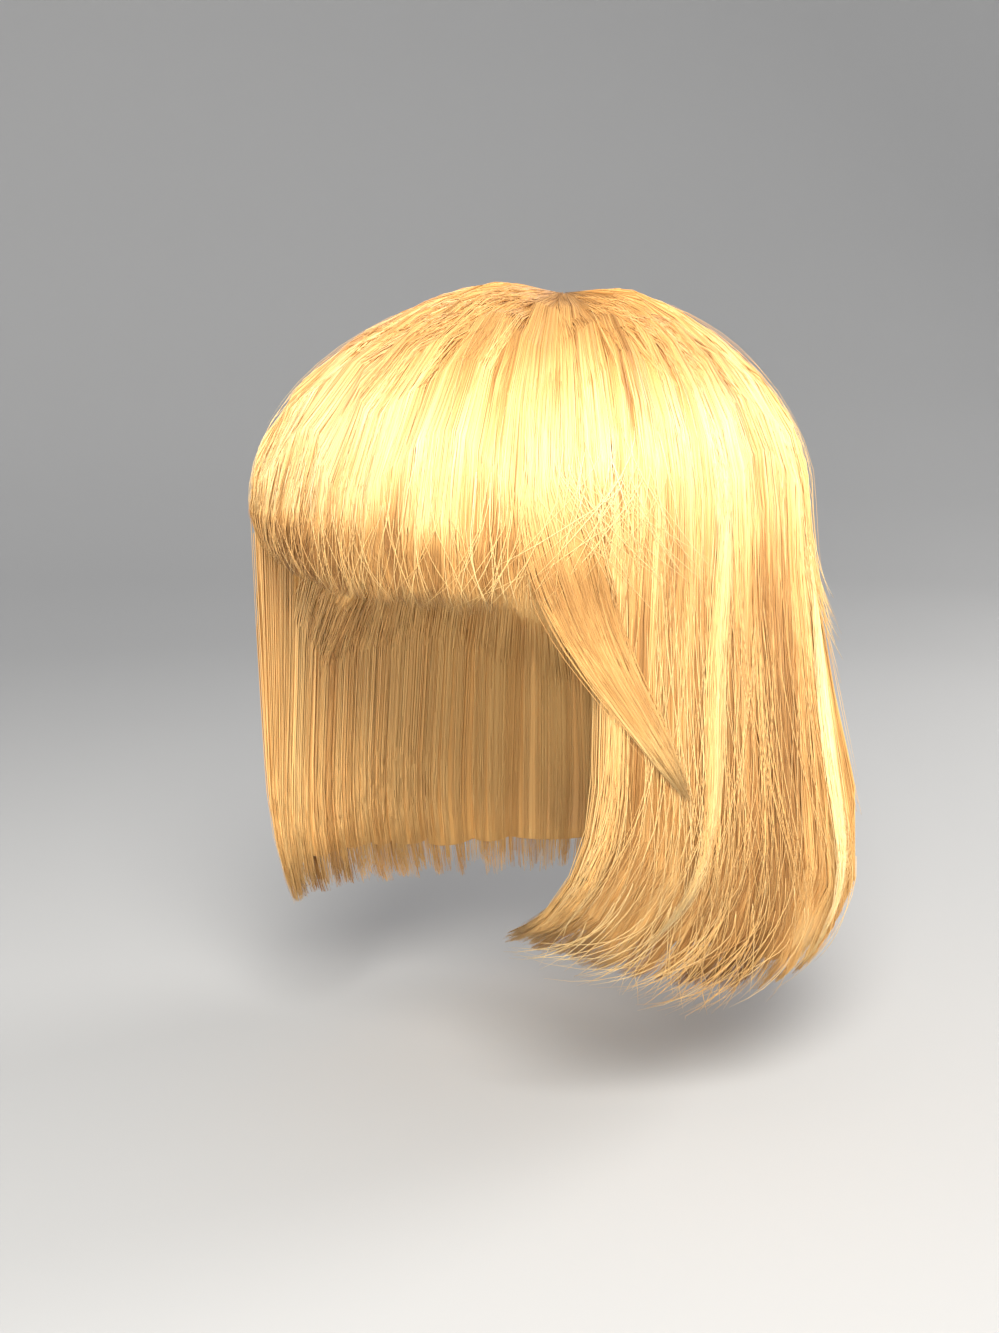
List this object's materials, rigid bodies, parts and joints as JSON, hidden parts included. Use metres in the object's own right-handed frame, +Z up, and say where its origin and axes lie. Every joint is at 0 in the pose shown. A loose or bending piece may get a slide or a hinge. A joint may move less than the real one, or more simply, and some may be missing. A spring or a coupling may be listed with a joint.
{
  "type": "bob wig",
  "caption": "Worn blonde bob wig with a full rounded fringe: a fitted cap under thick hair panels that spring from a whorl and curl in at the tips.",
  "frame": {"origin": "inside top of the cap, where the crown of the head touches it", "axes": "+Z up, -Y towards the face, +X towards the wearer's left"},
  "size_m": [0.2291, 0.2566, 0.2886],
  "materials": {
    "hair": "glossy golden blonde synthetic fibre",
    "cap_net": "beige stretch net with sewn wefts",
    "false_scalp": "matt skin-coloured film with knotted roots"
  },
  "bodies": {
    "root": {"cap": "cap_net", "scalp_patch": "false_scalp", "fringe": "hair", "left_side_hair": "hair", "back_hair": "hair", "right_side_hair": "hair", "swept_lock": "hair", "long_lock_1": "hair", "long_lock_2": "hair"}
  },
  "joints": []
}
